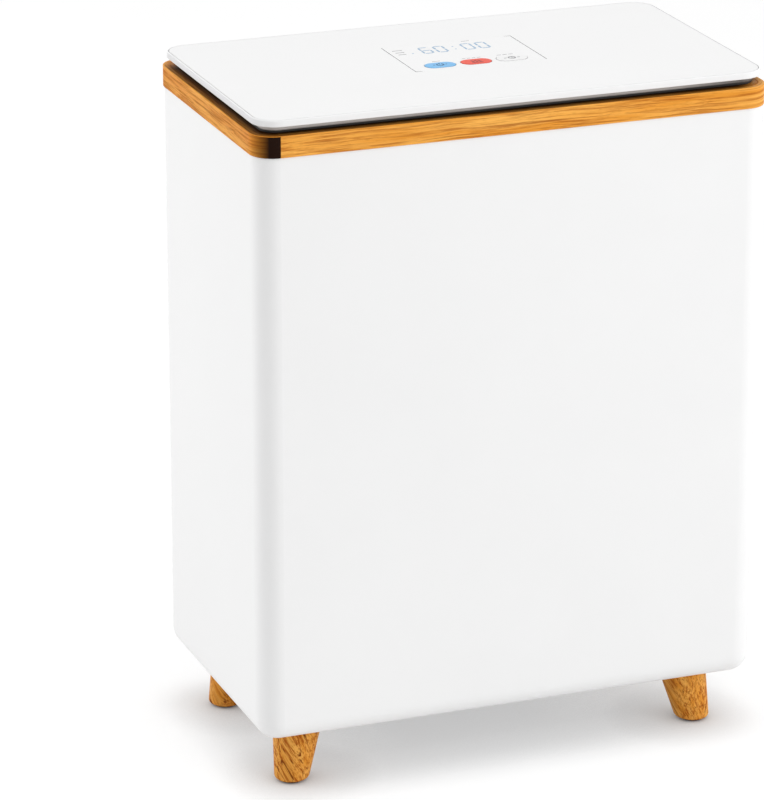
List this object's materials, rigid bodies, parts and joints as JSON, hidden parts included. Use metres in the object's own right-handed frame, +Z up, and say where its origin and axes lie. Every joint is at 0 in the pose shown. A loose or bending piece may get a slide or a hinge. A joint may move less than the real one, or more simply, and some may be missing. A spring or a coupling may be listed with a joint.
{
  "type": "towel warmer bucket",
  "caption": "Tall heated towel bucket: a white cabinet on splayed wooden feet, a wooden ring round its mouth, and a rear-hinged lid with a display and oval keys.",
  "frame": {"origin": "on the floor, under the middle of the cabinet", "axes": "+Z up, the front faces -Y, and +X is to the right seen from the front"},
  "size_m": [0.402, 0.228, 0.5254],
  "materials": {
    "cabinet_white": "satin",
    "lid_white": "satin",
    "ring_wood": "oiled, straight grain",
    "foot_wood": "oiled, strong grain",
    "neck_black": "fine moulded texture",
    "bucket_sheet": "drawn and anodised",
    "liner_sheet": "brushed",
    "cover_grey": "moulded",
    "frame_grey": "moulded",
    "steel": "plated",
    "brass": "turned",
    "pad_rubber": "matte",
    "seal_rubber": "matte",
    "film": "polyimide film",
    "wool": "needled felt",
    "foam": "foam sheet",
    "board": "solder mask",
    "component": "moulded",
    "sensor": "moulded",
    "inlet_black": "moulded",
    "lead_black": "cable sheath",
    "lead_white": "silicone sheath",
    "lead_grey": "cable sheath",
    "panel_white": "satin",
    "display_white": "satin",
    "digit_blue": "lit light guide",
    "digit_off": "unlit light guide",
    "key_blue": "satin",
    "key_red": "satin",
    "key_white": "satin"
  },
  "bodies": {
    "cabinet": {"outer_shell": "cabinet_white", "bottom_cover": "cover_grey", "cover_screws": "steel", "top_frame": "frame_grey", "frame_screws": "steel", "wood_ring": "ring_wood", "ring_screws": "steel", "inner_bucket": "bucket_sheet", "heating_film": "film", "insulation_wrap": "wool", "bottom_insulation": "wool", "thermostat": "sensor", "thermal_fuse": "steel", "temperature_sensor": "component", "sensor_bracket": "steel", "power_board": "board", "board_components": "component", "board_screws": "steel", "power_inlet": "inlet_black", "inlet_blades": "steel", "mains_leads": "lead_black", "heater_leads": "lead_white", "signal_harness": "lead_grey", "foot_front_left": "foot_wood", "foot_front_right": "foot_wood", "foot_rear_left": "foot_wood", "foot_rear_right": "foot_wood", "foot_studs": "steel", "foot_inserts": "brass", "foot_pads": "pad_rubber", "hinge_base_left": "steel", "hinge_base_right": "steel", "hinge_pins": "steel", "hinge_base_screws": "steel"},
    "lid": {"lid_plate": "lid_white", "lid_neck": "neck_black", "lid_seal": "seal_rubber", "lid_foam": "foam", "lid_liner": "liner_sheet", "neck_screws": "steel", "hinge_lid_left": "steel", "hinge_lid_right": "steel", "hinge_lid_screws": "steel", "control_panel": "panel_white", "display_module": "display_white", "segments_lit": "digit_blue", "segments_unlit": "digit_off", "control_board": "board", "control_screws": "steel", "key_switches": "component", "lid_harness": "lead_grey"},
    "blue_button": {"blue_key": "key_blue"},
    "red_button": {"red_key": "key_red"},
    "white_button": {"white_key": "key_white"}
  },
  "joints": [
    {"name": "lid_hinge", "type": "hinge", "parent": "cabinet", "child": "lid", "pos_m": [0, 0.11, 0.517], "axis": [-1, 0, 0], "range_deg": [0, 95]},
    {"name": "blue_key_press", "type": "slide", "parent": "lid", "child": "blue_button", "axis": [0, 0, -1], "range_m": [0, 0.0005], "stiffness_N_per_m": 1200, "springref_m": -0.0004},
    {"name": "red_key_press", "type": "slide", "parent": "lid", "child": "red_button", "axis": [0, 0, -1], "range_m": [0, 0.0005], "stiffness_N_per_m": 1200, "springref_m": -0.0004},
    {"name": "white_key_press", "type": "slide", "parent": "lid", "child": "white_button", "axis": [0, 0, -1], "range_m": [0, 0.0005], "stiffness_N_per_m": 1200, "springref_m": -0.0004}
  ]
}
